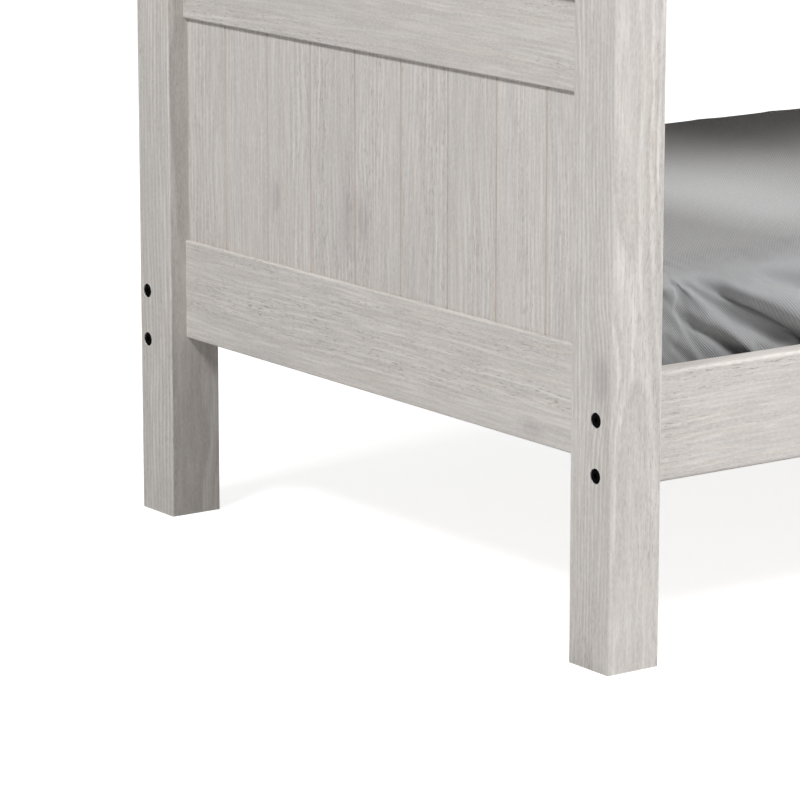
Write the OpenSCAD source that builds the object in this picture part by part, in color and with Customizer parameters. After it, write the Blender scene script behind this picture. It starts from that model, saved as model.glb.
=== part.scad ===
// Twin-over-twin bunk bed with square posts, boarded panel ends and a hook-on ladder.
// +X runs along the bed, +Y from the ladder side to the rear, and +Z is up. The origin is on
// the floor, under the middle of the whole object. Left and right are as seen from the ladder.

/* [Mattresses] */
// Length of both mattresses
mattress_l = 1905; // [1500:5:2300]
// Width of the lower mattress
mattress_w = 985; // [760:5:1400]
// Thickness of the lower mattress
lower_mattress_t = 203; // [130:1:250]
// Thickness of the upper mattress
upper_mattress_t = 140; // [100:1:180]
// Radius of a mattress's upright corners
mattress_corner_r = 45; // [20:1:90]
// Gap at each end of a mattress
mattress_end_gap = 7.5; // [4:0.5:20]
// Gap between the lower mattress and each side rail
lower_side_gap = 6; // [4:0.5:20]
// Gap between the upper mattress and each side rail, where ladder hooks and uprights reach down
upper_side_gap = 18; // [17:0.5:40]
// Thickness of a fitted sheet
sheet_t = 1.2; // [0.8:0.1:2]

/* [Posts] */
// Side of the square posts
post_w = 80; // [65:1:100]
// Height of a post above the cap of the upper end
post_over_cap = 24; // [5:1:60]
// Radius of the long edges of posts, rails and boards
edge_r = 2.5; // [1:0.5:4]

/* [Ends] */
// Height of the bottom end rail's lower edge above the floor
end_rail_z = 258; // [200:1:320]
// Height of the bottom end rail
end_rail_h = 140; // [100:1:170]
// Thickness of the bottom and top end rails
end_rail_t = 27; // [22:0.5:34]
// Visible height of the lower bunk's boarded panel
lower_panel_h = 315; // [200:1:380]
// Visible height of the upper bunk's boarded panel
upper_panel_h = 168; // [120:1:300]
// Height of the top end rail
top_rail_h = 120; // [80:1:150]
// Thickness of the cap on the top end rail
cap_h = 30; // [20:1:40]
// Width of that cap
cap_w = 52; // [40:1:62]
// Thickness of the panel boards
board_t = 14; // [10:0.5:17]
// Face width of a panel board, before the boards are shared out evenly
board_w = 104; // [60:1:160]
// How far the panel reaches into the grooves of posts and rails
panel_tongue = 9; // [5:0.5:12]
// Bevel along each board's face edges
board_bevel = 1.2; // [0.5:0.1:3]

/* [Side rails and slats] */
// Height of the side rails' lower edge above the floor, for the lower bunk
side_rail_z = 232; // [180:1:300]
// Height of a side rail
side_rail_h = 140; // [110:1:170]
// Thickness of a side rail
side_rail_t = 35; // [25:0.5:42]
// How far the front rail's face stands back from the posts' front faces
front_inset = 12; // [0:0.5:20]
// How far the rear rail's face stands back from the posts' rear faces
rear_inset = 1; // [0:0.5:20]
// Side of the square cleat that carries the slats
cleat_w = 30; // [20:1:40]
// Thickness of a slat
slat_t = 19; // [15:0.5:25]
// Width of a slat
slat_w = 70; // [50:1:100]
// Number of slats in one bunk
slat_count = 14; // [8:1:16]
// Thickness of the webbing straps under the slats
strap_t = 1.2; // [0.8:0.1:2]
// Width of those straps
strap_w = 25; // [15:1:40]

/* [Upper bunk and guards] */
// Height of the upper bunk above the lower one
bunk_rise = 900; // [860:5:1000]
// Height of a guard board
guard_h = 90; // [60:1:108]
// Thickness of a guard board
guard_t = 22; // [18:0.5:26]
// Gap between the side rail and the lower guard board
guard_gap_low = 72; // [40:1:85]
// Gap between the two guard boards
guard_gap_top = 70; // [40:1:85]
// Width of the guard uprights and of the stile beside the ladder opening
upright_w = 60; // [40:1:90]
// Thickness of the guard uprights
upright_t = 12; // [9:0.5:14]
// Width of the ladder opening between the stile and the right post
gate_w = 460; // [430:5:600]

/* [Ladder] */
// Width over the two stringers
ladder_w = 400; // [320:5:420]
// Thickness of a stringer
stringer_t = 30; // [24:1:40]
// Level depth of a stringer, front to back
stringer_d = 90; // [70:1:110]
// Lean of the ladder from the upright
lean = 10; // [4:0.5:15]
// Number of rungs
rung_count = 4; // [4:1:4]
// Thickness of a rung
rung_t = 27; // [20:1:35]
// Level depth of a rung, front to back
rung_d = 84; // [60:1:100]
// Thickness of the steel hook plates
hook_t = 5; // [3:0.5:8]
// How far a hook reaches down behind the rail
hook_drop = 45; // [25:1:70]
// Width of the hook's leg behind the rail
hook_leg = 9; // [6:0.5:11]
// Height of the rubber feet
foot_h = 8; // [5:0.5:15]

/* [Fastenings] */
// Height of the upper bed bolt above the side rail's lower edge
bolt_high = 87.3; // [60:0.1:110]
// Distance between the two bed bolts of one joint
bolt_pitch = 70.4; // [40:0.1:80]
// Diameter of a bed bolt's shank
bolt_d = 8; // [6:0.5:10]
// Diameter of a bed bolt's head
head_d = 19.4; // [14:0.1:22]
// Height of that head
head_h = 4.5; // [3:0.5:6]
// Diameter of a barrel nut
nut_d = 14; // [12:0.5:16]
// Length of a barrel nut
nut_l = 18; // [12:0.5:18]
// Diameter of a dowel
dowel_d = 10; // [6:0.5:12]
// Length of a dowel
dowel_l = 60; // [40:1:70]
// Diameter of a wood screw's shank
screw_d = 4.5; // [3:0.5:5]
// Diameter of its countersunk head
screw_head_d = 9; // [6:0.5:10]

/* [Hidden] */
$fn = 48;

// Colours
paint = [0.80, 0.775, 0.745];
beech = [0.80, 0.66, 0.47];
black = [0.03, 0.03, 0.03];
zinc = [0.62, 0.63, 0.65];
sheet_grey = [0.60, 0.60, 0.61];
ticking = [0.90, 0.90, 0.88];
webbing = [0.86, 0.84, 0.80];
rubber = [0.08, 0.08, 0.08];

// Small clearances
touch_gap = 0.3;      // between the ladder and the bed
hole_gap = 0.3;       // on the radius, around shanks, nuts and heads
dowel_gap = 0.1;      // on the radius, around a dowel
dowel_end_gap = 1;    // past each end of a dowel
cut = 1;              // how far a cutting shape runs past a face
LOWER = 0;
UPPER = 1;
FRONT = 0;
REAR = 1;

// Heights of both bunks
level_z = [0, bunk_rise];
panel_h = [lower_panel_h, upper_panel_h];
bottom_rail_top = end_rail_z + end_rail_h;
rail_z = [for (z = level_z) z + side_rail_z];
rail_top = [for (z = rail_z) z + side_rail_h];
slat_z = [for (z = rail_z) z + cleat_w];
mattress_z = [for (z = slat_z) z + slat_t];
mattress_t = [lower_mattress_t, upper_mattress_t];
top_rail_z = [for (v = [LOWER, UPPER]) level_z[v] + bottom_rail_top + panel_h[v]];
cap_z = [for (z = top_rail_z) z + top_rail_h];
post_h = cap_z[UPPER] + cap_h + post_over_cap;

// Length: the mattress lies between the posts
inner_l = mattress_l + 2 * mattress_end_gap;
bed_l = inner_l + 2 * post_w;
left_x = -bed_l / 2;
post_in_x = left_x + post_w;
end_mid_x = left_x + post_w / 2;

// Width: the mattress lies between the side rails, and the ladder leans out in front
inner_w = mattress_w + 2 * lower_side_gap;
bed_w = front_inset + rear_inset + 2 * side_rail_t + inner_w;
ladder_out = (rail_top[UPPER] - foot_h) * tan(lean) + touch_gap + stringer_d - front_inset;
front_y = ladder_out - (bed_w + ladder_out) / 2;
rear_y = front_y + bed_w;
post_in_y = [front_y + post_w, rear_y - post_w];
post_y = [[front_y, post_in_y[FRONT]], [post_in_y[REAR], rear_y]];
front_rail_y = front_y + front_inset;
rear_rail_y = rear_y - rear_inset;
rail_in_y = [front_rail_y + side_rail_t, rear_rail_y - side_rail_t];
rail_y = [[front_rail_y, rail_in_y[FRONT]], [rail_in_y[REAR], rear_rail_y]];
inward = [1, -1];
bed_mid_y = (rail_in_y[FRONT] + rail_in_y[REAR]) / 2;

// Guards: their inner faces line up with the side rails' inner faces
guard_z = [rail_top[UPPER] + guard_gap_low, rail_top[UPPER] + guard_gap_low + guard_h + guard_gap_top];
guard_top = guard_z[1] + guard_h;
guard_mid_z = [for (z = guard_z) z + guard_h / 2];
guard_out_y = [for (s = [FRONT, REAR]) rail_in_y[s] - inward[s] * guard_t];
guard_mid_y = [for (s = [FRONT, REAR]) rail_in_y[s] - inward[s] * guard_t / 2];
stile_x = -post_in_x - gate_w - upright_w;
upright_foot = 12;
upright_z = mattress_z[UPPER] + upright_foot;
front_upright_x = (post_in_x + stile_x) / 2;
rear_upright_x = 0;

// Bed bolts run along X through a post into a barrel nut in the rail or board
rail_mid_y = [front_rail_y + side_rail_t / 2, rear_rail_y - side_rail_t / 2];
bolt_z = [for (v = [LOWER, UPPER]) for (k = [0, 1]) rail_z[v] + bolt_high - k * bolt_pitch];
head_sink = 0.6;
nut_in = 40;
bolt_past_nut = 12;
bolt_l = post_w - head_h - head_sink + nut_in + bolt_past_nut;
bore_past_bolt = 3;
socket_w = 7;
socket_depth = 2.8;
slot_w = 1.6;
slot_depth = 1.5;

// Dowels of the end frames: heights of the pairs in each rail, and one in each cap.
// In the post a dowel stops short of the guard bolt that crosses it.
dowel_inset = 32;
dowel_wall = 4;
guard_bolt_y = front_inset + side_rail_t - guard_t / 2;
dowel_in_post = min(dowel_l / 2, post_w - guard_bolt_y - bolt_d / 2 - hole_gap - dowel_wall);
end_dowel_z = [for (v = [LOWER, UPPER]) for (z = [
  level_z[v] + end_rail_z + dowel_inset, level_z[v] + bottom_rail_top - dowel_inset,
  top_rail_z[v] + dowel_inset, cap_z[v] - dowel_inset, cap_z[v] + cap_h / 2]) z];
stile_dowel_x = [stile_x + upright_w / 4, stile_x + 3 * upright_w / 4];
board_dowel_inset = 25;
board_dowel_z = [for (z = guard_z) for (d = [board_dowel_inset, guard_h - board_dowel_inset]) z + d];
board_dowel_l = 40;
board_dowel_d = 8;

// Panel boards share the width between the grooves evenly
panel_w = post_in_y[REAR] - post_in_y[FRONT] + 2 * panel_tongue;
board_count = round(panel_w / board_w);
board_pitch = panel_w / board_count;
board_gap = 0.5;
groove_gap = 0.15;
joint_tongue = 6;
joint_t = board_t / 3;

// Cleats, slats and their fastenings
cleat_end = 20;
cleat_x = [post_in_x + cleat_end, -post_in_x - cleat_end];
cleat_screw_count = 5;
cleat_screw_l = cleat_w + side_rail_t - 10;
slat_end_gap = 3;
slat_first = slat_w / 2 + 25;
slat_pitch = (inner_l - 2 * slat_first) / (slat_count - 1);
strap_from_mid = inner_w / 3;

// Guard screws: through an upright into the rail and both boards
rail_screw_z = rail_top[UPPER] - 30;
guard_screw_l = upright_t + guard_t - 6;

// Ladder
stringer_over = 18;
ladder_mid_x = -post_in_x - gate_w / 2;
stringer_x = [ladder_mid_x - ladder_w / 2, ladder_mid_x + ladder_w / 2 - stringer_t];
rung_x = [stringer_x[0] + stringer_t, stringer_x[1]];
ladder_top_y = front_rail_y - touch_gap;
mattress_top = mattress_z[UPPER] + mattress_t[UPPER];
rung_step = mattress_top / (rung_count + 1);
rung_r = 5;
rung_screw_from_mid = 22;
rung_screw_l = 2 * stringer_t;
hook_bar = 12;
hook_pad_w = 66;
hook_pad_h = 95;
hook_r = 4;
hook_screw_l = stringer_t - 4 + hook_t;
hook_screw_at = [[-52, -18], [-52, -74], [-34, -46]];
foot_r = 3;

function back_y(z) = ladder_top_y - (rail_top[UPPER] - z) * tan(lean);
function rung_mid_y(z) = back_y(z) - stringer_d / 2;
function slat_x(i) = post_in_x + slat_first + i * slat_pitch;
function cleat_screw_x(i) = cleat_x[0] + (cleat_x[1] - cleat_x[0]) * (i + 0.5) / cleat_screw_count;

// Rectangle with round corners, from one corner to the other
module round_rect(low, high, r) {
  size = high - low;
  translate(low) {
    translate([r, 0]) square([size.x - 2 * r, size.y]);
    translate([0, r]) square([size.x, size.y - 2 * r]);
    for (x = [r, size.x - r], y = [r, size.y - r]) translate([x, y]) circle(r);
  }
}

// Bars along each axis with their long edges rounded
module bar_x(x, y, z, r = edge_r) {
  translate([x[0], 0, 0]) rotate([90, 0, 90])
    linear_extrude(x[1] - x[0]) round_rect([y[0], z[0]], [y[1], z[1]], r);
}

module bar_y(x, y, z, r = edge_r) {
  translate([0, y[1], 0]) rotate([90, 0, 0])
    linear_extrude(y[1] - y[0]) round_rect([x[0], z[0]], [x[1], z[1]], r);
}

module bar_z(x, y, z, r = edge_r) {
  translate([0, 0, z[0]])
    linear_extrude(z[1] - z[0]) round_rect([x[0], y[0]], [x[1], y[1]], r);
}

module block(x, y, z) {
  translate([x[0], y[0], z[0]]) cube([x[1] - x[0], y[1] - y[0], z[1] - z[0]]);
}

// Rods along X and Y from one end to the other
module rod_x(x, y, z, d) {
  translate([x[0], y, z]) rotate([0, 90, 0]) cylinder(d = d, h = x[1] - x[0]);
}

module rod_y(x, y, z, d) {
  translate([x, y[0], z]) rotate([-90, 0, 0]) cylinder(d = d, h = y[1] - y[0]);
}

// Left-hand shapes are mirrored for the right end
module right_end() {
  mirror([1, 0, 0]) children();
}

// Countersunk wood screw that points along -Z, with its head's face at the origin
module wood_screw(l, gap = 0) {
  head_deep = (screw_head_d - screw_d) / 2;
  shank_d = screw_d + 2 * gap;
  translate([0, 0, -l - gap]) cylinder(d = shank_d, h = l + gap);
  difference() {
    translate([0, 0, -head_deep]) cylinder(d1 = shank_d, d2 = screw_head_d + 2 * gap, h = head_deep);
    if (gap == 0) translate([0, 0, -head_deep / 2]) cylinder(d = screw_d / 2, h = head_deep);
  }
}

// Screws in the cleats of one side, from the cleat into the rail
module cleat_screw_row(s, v, gap = 0) {
  for (i = [0 : cleat_screw_count - 1])
    translate([cleat_screw_x(i), rail_in_y[s] + inward[s] * cleat_w, rail_z[v] + cleat_w / 2])
      rotate([-90 * inward[s], 0, 0]) wood_screw(cleat_screw_l, gap);
}

// Screws of one guard upright, from its inner face
module guard_screw_set(s, x, gap = 0) {
  for (z = concat([rail_screw_z], guard_mid_z), k = [1, 3])
    translate([x + k * upright_w / 4, rail_in_y[s] + inward[s] * upright_t, z])
      rotate([-90 * inward[s], 0, 0]) wood_screw(guard_screw_l, gap);
}

// Screws that hold the rungs, from the outer faces of the stringers
module rung_screw_set(gap = 0) {
  for (i = [1 : rung_count], k = [-1, 1]) {
    y = rung_mid_y(i * rung_step) + k * rung_screw_from_mid;
    z = i * rung_step - rung_t / 2;
    translate([stringer_x[0], y, z]) rotate([0, -90, 0]) wood_screw(rung_screw_l, gap);
    translate([stringer_x[1] + stringer_t, y, z]) rotate([0, 90, 0]) wood_screw(rung_screw_l, gap);
  }
}

// Screws that hold the hook plates, from the plates' faces
module hook_screw_set(gap = 0) {
  for (at = hook_screw_at) {
    y = ladder_top_y + at[0];
    z = rail_top[UPPER] + at[1];
    translate([rung_x[0] + hook_t, y, z]) rotate([0, 90, 0]) wood_screw(hook_screw_l, gap);
    translate([rung_x[1] - hook_t, y, z]) rotate([0, -90, 0]) wood_screw(hook_screw_l, gap);
  }
}

// Bed bolt of a left post, from the end face inwards
module bed_bolt(y, z) {
  seat = left_x + head_h + head_sink;
  difference() {
    union() {
      translate([seat, y, z]) rotate([0, -90, 0]) rotate_extrude() bolt_head_outline();
      rod_x([seat, seat + bolt_l], y, z, bolt_d);
    }
    translate([left_x + head_sink - cut, y, z]) rotate([0, 90, 0])
      cylinder(d = socket_w / cos(30), h = socket_depth + cut, $fn = 6);
  }
}

module bolt_head_outline() {
  rim = 1;
  polygon([[0, 0], [head_d / 2, 0], [head_d / 2, head_h - rim], [head_d / 2 - rim, head_h], [0, head_h]]);
}

// What a bed bolt takes out of a left post
module bolt_bore(y, z) {
  rod_x([left_x - cut, left_x + head_h + head_sink], y, z, head_d + 2 * hole_gap);
  rod_x([left_x, post_in_x + cut], y, z, bolt_d + 2 * hole_gap);
}

// What a bed bolt and its nut take out of the left end of a rail or board with this inner face
module nut_bore(y, z, s) {
  mouth = rail_in_y[s] + inward[s] * cut;
  floor_y = y - inward[s] * (nut_l / 2 + hole_gap);
  rod_x([post_in_x - cut, post_in_x + nut_in + bolt_past_nut + bore_past_bolt], y, z,
    bolt_d + 2 * hole_gap);
  rod_y(post_in_x + nut_in, [min(mouth, floor_y), max(mouth, floor_y)], z, nut_d + 2 * hole_gap);
}

// Barrel nut across a left-hand bolt, with a slot in the end that faces the mattress
module barrel_nut(y, z, s) {
  x = post_in_x + nut_in;
  face = y + inward[s] * nut_l / 2;
  difference() {
    rod_y(x, [y - nut_l / 2, y + nut_l / 2], z, nut_d);
    rod_x([x - nut_d, x + nut_d], y, z, bolt_d + 2 * dowel_gap);
    block([x - nut_d, x + nut_d], [face - slot_depth, face + slot_depth], [z - slot_w / 2, z + slot_w / 2]);
  }
}

// Post
module left_post(s, guard) {
  difference() {
    bar_z([left_x, post_in_x], post_y[s], [0, post_h]);
    for (z = bolt_z) bolt_bore(rail_mid_y[s], z);
    if (guard) for (z = guard_mid_z) bolt_bore(guard_mid_y[s], z);
    for (z = end_dowel_z) end_dowel(s, z, dowel_gap);
    for (v = [LOWER, UPPER]) panel_slot(v);
  }
}

// Groove space that the panel's edge fills in posts and rails
module panel_slot(v) {
  half = board_t / 2 + groove_gap;
  deep = panel_tongue + groove_gap;
  block([end_mid_x - half, end_mid_x + half], [post_in_y[FRONT] - deep, post_in_y[REAR] + deep],
    [level_z[v] + bottom_rail_top - deep, top_rail_z[v] + deep]);
}

// Dowel between a left post and an end rail
module end_dowel(s, z, gap = 0) {
  past = gap > 0 ? dowel_end_gap : 0;
  post_end = post_in_y[s] - inward[s] * (dowel_in_post + past);
  rail_end = post_in_y[s] + inward[s] * (dowel_l / 2 + past);
  rod_y(end_mid_x, [min(post_end, rail_end), max(post_end, rail_end)], z, dowel_d + 2 * gap);
}

// Dowels of the stile: down into the front rail, and across into the guard boards
module stile_dowels(gap = 0) {
  half = board_dowel_l / 2 + (gap > 0 ? dowel_end_gap : 0);
  d = board_dowel_d + 2 * gap;
  for (x = stile_dowel_x)
    translate([x, rail_mid_y[FRONT], rail_top[UPPER] - half]) cylinder(d = d, h = 2 * half);
  for (z = board_dowel_z) rod_x([stile_x - half, stile_x + half], guard_mid_y[FRONT], z, d);
}

// End rails and cap, left end
module end_rail(z, h, v) {
  half = end_rail_t / 2;
  difference() {
    bar_y([end_mid_x - half, end_mid_x + half], post_in_y, [z, z + h]);
    panel_slot(v);
    for (s = [FRONT, REAR], dowel_z = end_dowel_z) end_dowel(s, dowel_z, dowel_gap);
  }
}

module bottom_rail(v) {
  end_rail(level_z[v] + end_rail_z, end_rail_h, v);
}

module top_rail(v) {
  end_rail(top_rail_z[v], top_rail_h, v);
}

module end_cap(v) {
  difference() {
    bar_y([end_mid_x - cap_w / 2, end_mid_x + cap_w / 2], post_in_y, [cap_z[v], cap_z[v] + cap_h],
      2 * edge_r);
    for (s = [FRONT, REAR]) end_dowel(s, cap_z[v] + cap_h / 2, dowel_gap);
  }
}

// Outline of one tongued and grooved board across its width, from its front edge at y = 0
module board_outline(first, last) {
  w = board_pitch - board_gap;
  half = board_t / 2;
  tongue = board_gap + joint_tongue - groove_gap;
  difference() {
    union() {
      polygon([[-half, board_bevel], [-half + board_bevel, 0],
        [half - board_bevel, 0], [half, board_bevel],
        [half, w - board_bevel], [half - board_bevel, w],
        [-half + board_bevel, w], [-half, w - board_bevel]]);
      if (!last) translate([-joint_t / 2, w - cut]) square([joint_t, tongue + cut]);
    }
    if (!first) translate([-joint_t / 2 - groove_gap, -cut])
      square([joint_t + 2 * groove_gap, joint_tongue + cut]);
  }
}

module panel_boards(v) {
  z = level_z[v] + bottom_rail_top - panel_tongue;
  for (i = [0 : board_count - 1])
    translate([end_mid_x, post_in_y[FRONT] - panel_tongue + i * board_pitch + board_gap / 2, z])
      linear_extrude(panel_h[v] + 2 * panel_tongue) board_outline(i == 0, i == board_count - 1);
}

// Side rail with its bolt, nut and screw holes
module side_rail(s, v) {
  difference() {
    bar_x([post_in_x, -post_in_x], rail_y[s], [rail_z[v], rail_top[v]], 2 * edge_r);
    for (k = [0, 1]) {
      z = bolt_z[2 * v + k];
      nut_bore(rail_mid_y[s], z, s);
      right_end() nut_bore(rail_mid_y[s], z, s);
    }
    cleat_screw_row(s, v, dowel_gap);
    if (v == UPPER && s == FRONT) {
      guard_screw_set(FRONT, front_upright_x, dowel_gap);
      stile_dowels(dowel_gap);
    }
    if (v == UPPER && s == REAR) guard_screw_set(REAR, rear_upright_x, dowel_gap);
  }
}

module cleat(s, v) {
  y = [rail_in_y[s], rail_in_y[s] + inward[s] * cleat_w];
  difference() {
    bar_x(cleat_x, [min(y), max(y)], [rail_z[v], rail_z[v] + cleat_w]);
    cleat_screw_row(s, v, dowel_gap);
  }
}

module slats(v) {
  y = [rail_in_y[FRONT] + slat_end_gap, rail_in_y[REAR] - slat_end_gap];
  for (i = [0 : slat_count - 1])
    bar_y([slat_x(i) - slat_w / 2, slat_x(i) + slat_w / 2], y, [slat_z[v], slat_z[v] + slat_t]);
}

module slat_straps(v) {
  for (side = [-1, 1]) {
    y = bed_mid_y + side * strap_from_mid;
    block([slat_x(0) - slat_w / 2, slat_x(slat_count - 1) + slat_w / 2],
      [y - strap_w / 2, y + strap_w / 2], [slat_z[v] - strap_t, slat_z[v]]);
  }
}

// Guards
module guard_board(s, k) {
  y = [guard_out_y[s], rail_in_y[s]];
  difference() {
    bar_x([post_in_x, s == FRONT ? stile_x : -post_in_x], [min(y), max(y)],
      [guard_z[k], guard_z[k] + guard_h]);
    nut_bore(guard_mid_y[s], guard_mid_z[k], s);
    if (s == REAR) right_end() nut_bore(guard_mid_y[s], guard_mid_z[k], s);
    if (s == FRONT) stile_dowels(dowel_gap);
    guard_screw_set(s, s == FRONT ? front_upright_x : rear_upright_x, dowel_gap);
  }
}

module guard_stile() {
  difference() {
    bar_z([stile_x, stile_x + upright_w], rail_y[FRONT], [rail_top[UPPER], guard_top]);
    stile_dowels(dowel_gap);
  }
}

module guard_upright(s, x) {
  y = [rail_in_y[s], rail_in_y[s] + inward[s] * upright_t];
  difference() {
    bar_z([x, x + upright_w], [min(y), max(y)], [upright_z, guard_top]);
    guard_screw_set(s, x, dowel_gap);
  }
}

// Mattress block and the sheet over its top and sides
module mattress_block(v, grow = 0, lift = 0) {
  gap = v == LOWER ? lower_side_gap : upper_side_gap;
  x = mattress_l / 2 + grow;
  bar_z([-x, x], [rail_in_y[FRONT] + gap - grow, rail_in_y[REAR] - gap + grow],
    [mattress_z[v] - lift, mattress_z[v] + mattress_t[v] - sheet_t + grow], mattress_corner_r + grow);
}

module fitted_sheet(v) {
  difference() {
    mattress_block(v, sheet_t);
    mattress_block(v, 0, cut);
  }
}

// Ladder
module stringer(x) {
  deep = stringer_d * cos(lean);
  long = 2 * rail_top[UPPER];
  difference() {
    intersection() {
      translate([0, ladder_top_y, rail_top[UPPER]]) rotate([-lean, 0, 0])
        bar_z([x, x + stringer_t], [-deep, 0], [-long, long / 2]);
      block([x - cut, x + stringer_t + cut], [-bed_l, bed_l], [foot_h, rail_top[UPPER] + stringer_over]);
    }
    rung_screw_set(dowel_gap);
    hook_screw_set(dowel_gap);
  }
}

module rung(i) {
  z = i * rung_step;
  y = rung_mid_y(z);
  difference() {
    bar_x(rung_x, [y - rung_d / 2, y + rung_d / 2], [z - rung_t, z], rung_r);
    rung_screw_set(dowel_gap);
  }
}

module hook_outline() {
  top = rail_top[UPPER] + touch_gap;
  leg_y = rail_in_y[FRONT] + touch_gap;
  round_rect([ladder_top_y - hook_pad_w, top - hook_pad_h], [ladder_top_y, top + hook_bar], hook_r);
  round_rect([ladder_top_y - hook_pad_w, top], [leg_y + hook_leg, top + hook_bar], hook_r);
  round_rect([leg_y, top - hook_drop], [leg_y + hook_leg, top + hook_bar], hook_r);
}

module hook(x) {
  difference() {
    translate([x, 0, 0]) rotate([90, 0, 90]) linear_extrude(hook_t) hook_outline();
    hook_screw_set(dowel_gap);
  }
}

module foot(x) {
  y = back_y(foot_h);
  bar_z([x, x + stringer_t], [y - stringer_d, y], [0, foot_h], foot_r);
}

// Nodes
module front_left_post() { color(paint) left_post(FRONT, true); }
module rear_left_post() { color(paint) left_post(REAR, true); }
module front_right_post() { color(paint) right_end() left_post(FRONT, false); }
module rear_right_post() { color(paint) right_end() left_post(REAR, true); }

module lower_left_bottom_rail() { color(paint) bottom_rail(LOWER); }
module lower_left_panel_boards() { color(paint) panel_boards(LOWER); }
module lower_left_top_rail() { color(paint) top_rail(LOWER); }
module lower_left_cap() { color(paint) end_cap(LOWER); }
module lower_right_bottom_rail() { color(paint) right_end() bottom_rail(LOWER); }
module lower_right_panel_boards() { color(paint) right_end() panel_boards(LOWER); }
module lower_right_top_rail() { color(paint) right_end() top_rail(LOWER); }
module lower_right_cap() { color(paint) right_end() end_cap(LOWER); }
module upper_left_bottom_rail() { color(paint) bottom_rail(UPPER); }
module upper_left_panel_boards() { color(paint) panel_boards(UPPER); }
module upper_left_top_rail() { color(paint) top_rail(UPPER); }
module upper_left_cap() { color(paint) end_cap(UPPER); }
module upper_right_bottom_rail() { color(paint) right_end() bottom_rail(UPPER); }
module upper_right_panel_boards() { color(paint) right_end() panel_boards(UPPER); }
module upper_right_top_rail() { color(paint) right_end() top_rail(UPPER); }
module upper_right_cap() { color(paint) right_end() end_cap(UPPER); }

module lower_front_rail() { color(paint) side_rail(FRONT, LOWER); }
module lower_rear_rail() { color(paint) side_rail(REAR, LOWER); }
module upper_front_rail() { color(paint) side_rail(FRONT, UPPER); }
module upper_rear_rail() { color(paint) side_rail(REAR, UPPER); }
module lower_front_cleat() { color(paint) cleat(FRONT, LOWER); }
module lower_rear_cleat() { color(paint) cleat(REAR, LOWER); }
module upper_front_cleat() { color(paint) cleat(FRONT, UPPER); }
module upper_rear_cleat() { color(paint) cleat(REAR, UPPER); }
module lower_slats() { color(beech) slats(LOWER); }
module upper_slats() { color(beech) slats(UPPER); }
module lower_slat_straps() { color(webbing) slat_straps(LOWER); }
module upper_slat_straps() { color(webbing) slat_straps(UPPER); }

module front_guard_low_board() { color(paint) guard_board(FRONT, 0); }
module front_guard_top_board() { color(paint) guard_board(FRONT, 1); }
module rear_guard_low_board() { color(paint) guard_board(REAR, 0); }
module rear_guard_top_board() { color(paint) guard_board(REAR, 1); }
module front_guard_stile() { color(paint) guard_stile(); }
module front_guard_upright() { color(paint) guard_upright(FRONT, front_upright_x); }
module rear_guard_upright() { color(paint) guard_upright(REAR, rear_upright_x); }

module bed_bolts() {
  color(black) for (s = [FRONT, REAR]) {
    for (z = bolt_z) bed_bolt(rail_mid_y[s], z);
    for (z = bolt_z) right_end() bed_bolt(rail_mid_y[s], z);
    for (z = guard_mid_z) bed_bolt(guard_mid_y[s], z);
    if (s == REAR) for (z = guard_mid_z) right_end() bed_bolt(guard_mid_y[s], z);
  }
}

module barrel_nuts() {
  color(zinc) for (s = [FRONT, REAR]) {
    for (z = bolt_z) barrel_nut(rail_mid_y[s], z, s);
    for (z = bolt_z) right_end() barrel_nut(rail_mid_y[s], z, s);
    for (z = guard_mid_z) barrel_nut(guard_mid_y[s], z, s);
    if (s == REAR) for (z = guard_mid_z) right_end() barrel_nut(guard_mid_y[s], z, s);
  }
}

module dowels() {
  color(beech) {
    for (s = [FRONT, REAR], z = end_dowel_z) {
      end_dowel(s, z);
      right_end() end_dowel(s, z);
    }
    stile_dowels();
  }
}

module cleat_screws() {
  color(zinc) for (s = [FRONT, REAR], v = [LOWER, UPPER]) cleat_screw_row(s, v);
}

module guard_screws() {
  color(black) {
    guard_screw_set(FRONT, front_upright_x);
    guard_screw_set(REAR, rear_upright_x);
  }
}

module lower_mattress() { color(ticking) mattress_block(LOWER); }
module lower_fitted_sheet() { color(sheet_grey) fitted_sheet(LOWER); }
module upper_mattress() { color(ticking) mattress_block(UPPER); }
module upper_fitted_sheet() { color(sheet_grey) fitted_sheet(UPPER); }

module ladder_left_stringer() { color(paint) stringer(stringer_x[0]); }
module ladder_right_stringer() { color(paint) stringer(stringer_x[1]); }
module ladder_rung_1() { color(paint) rung(1); }
module ladder_rung_2() { color(paint) rung(2); }
module ladder_rung_3() { color(paint) rung(3); }
module ladder_rung_4() { color(paint) rung(4); }
module ladder_left_hook() { color(black) hook(rung_x[0]); }
module ladder_right_hook() { color(black) hook(rung_x[1] - hook_t); }
module ladder_hook_screws() { color(black) hook_screw_set(); }
module ladder_rung_screws() { color(black) rung_screw_set(); }
module ladder_feet() { color(rubber) for (x = stringer_x) foot(x); }

front_left_post();
rear_left_post();
front_right_post();
rear_right_post();
lower_left_bottom_rail();
lower_left_panel_boards();
lower_left_top_rail();
lower_left_cap();
lower_right_bottom_rail();
lower_right_panel_boards();
lower_right_top_rail();
lower_right_cap();
upper_left_bottom_rail();
upper_left_panel_boards();
upper_left_top_rail();
upper_left_cap();
upper_right_bottom_rail();
upper_right_panel_boards();
upper_right_top_rail();
upper_right_cap();
lower_front_rail();
lower_rear_rail();
upper_front_rail();
upper_rear_rail();
lower_front_cleat();
lower_rear_cleat();
upper_front_cleat();
upper_rear_cleat();
lower_slats();
upper_slats();
lower_slat_straps();
upper_slat_straps();
front_guard_low_board();
front_guard_top_board();
rear_guard_low_board();
rear_guard_top_board();
front_guard_stile();
front_guard_upright();
rear_guard_upright();
bed_bolts();
barrel_nuts();
dowels();
cleat_screws();
guard_screws();
lower_mattress();
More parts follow.
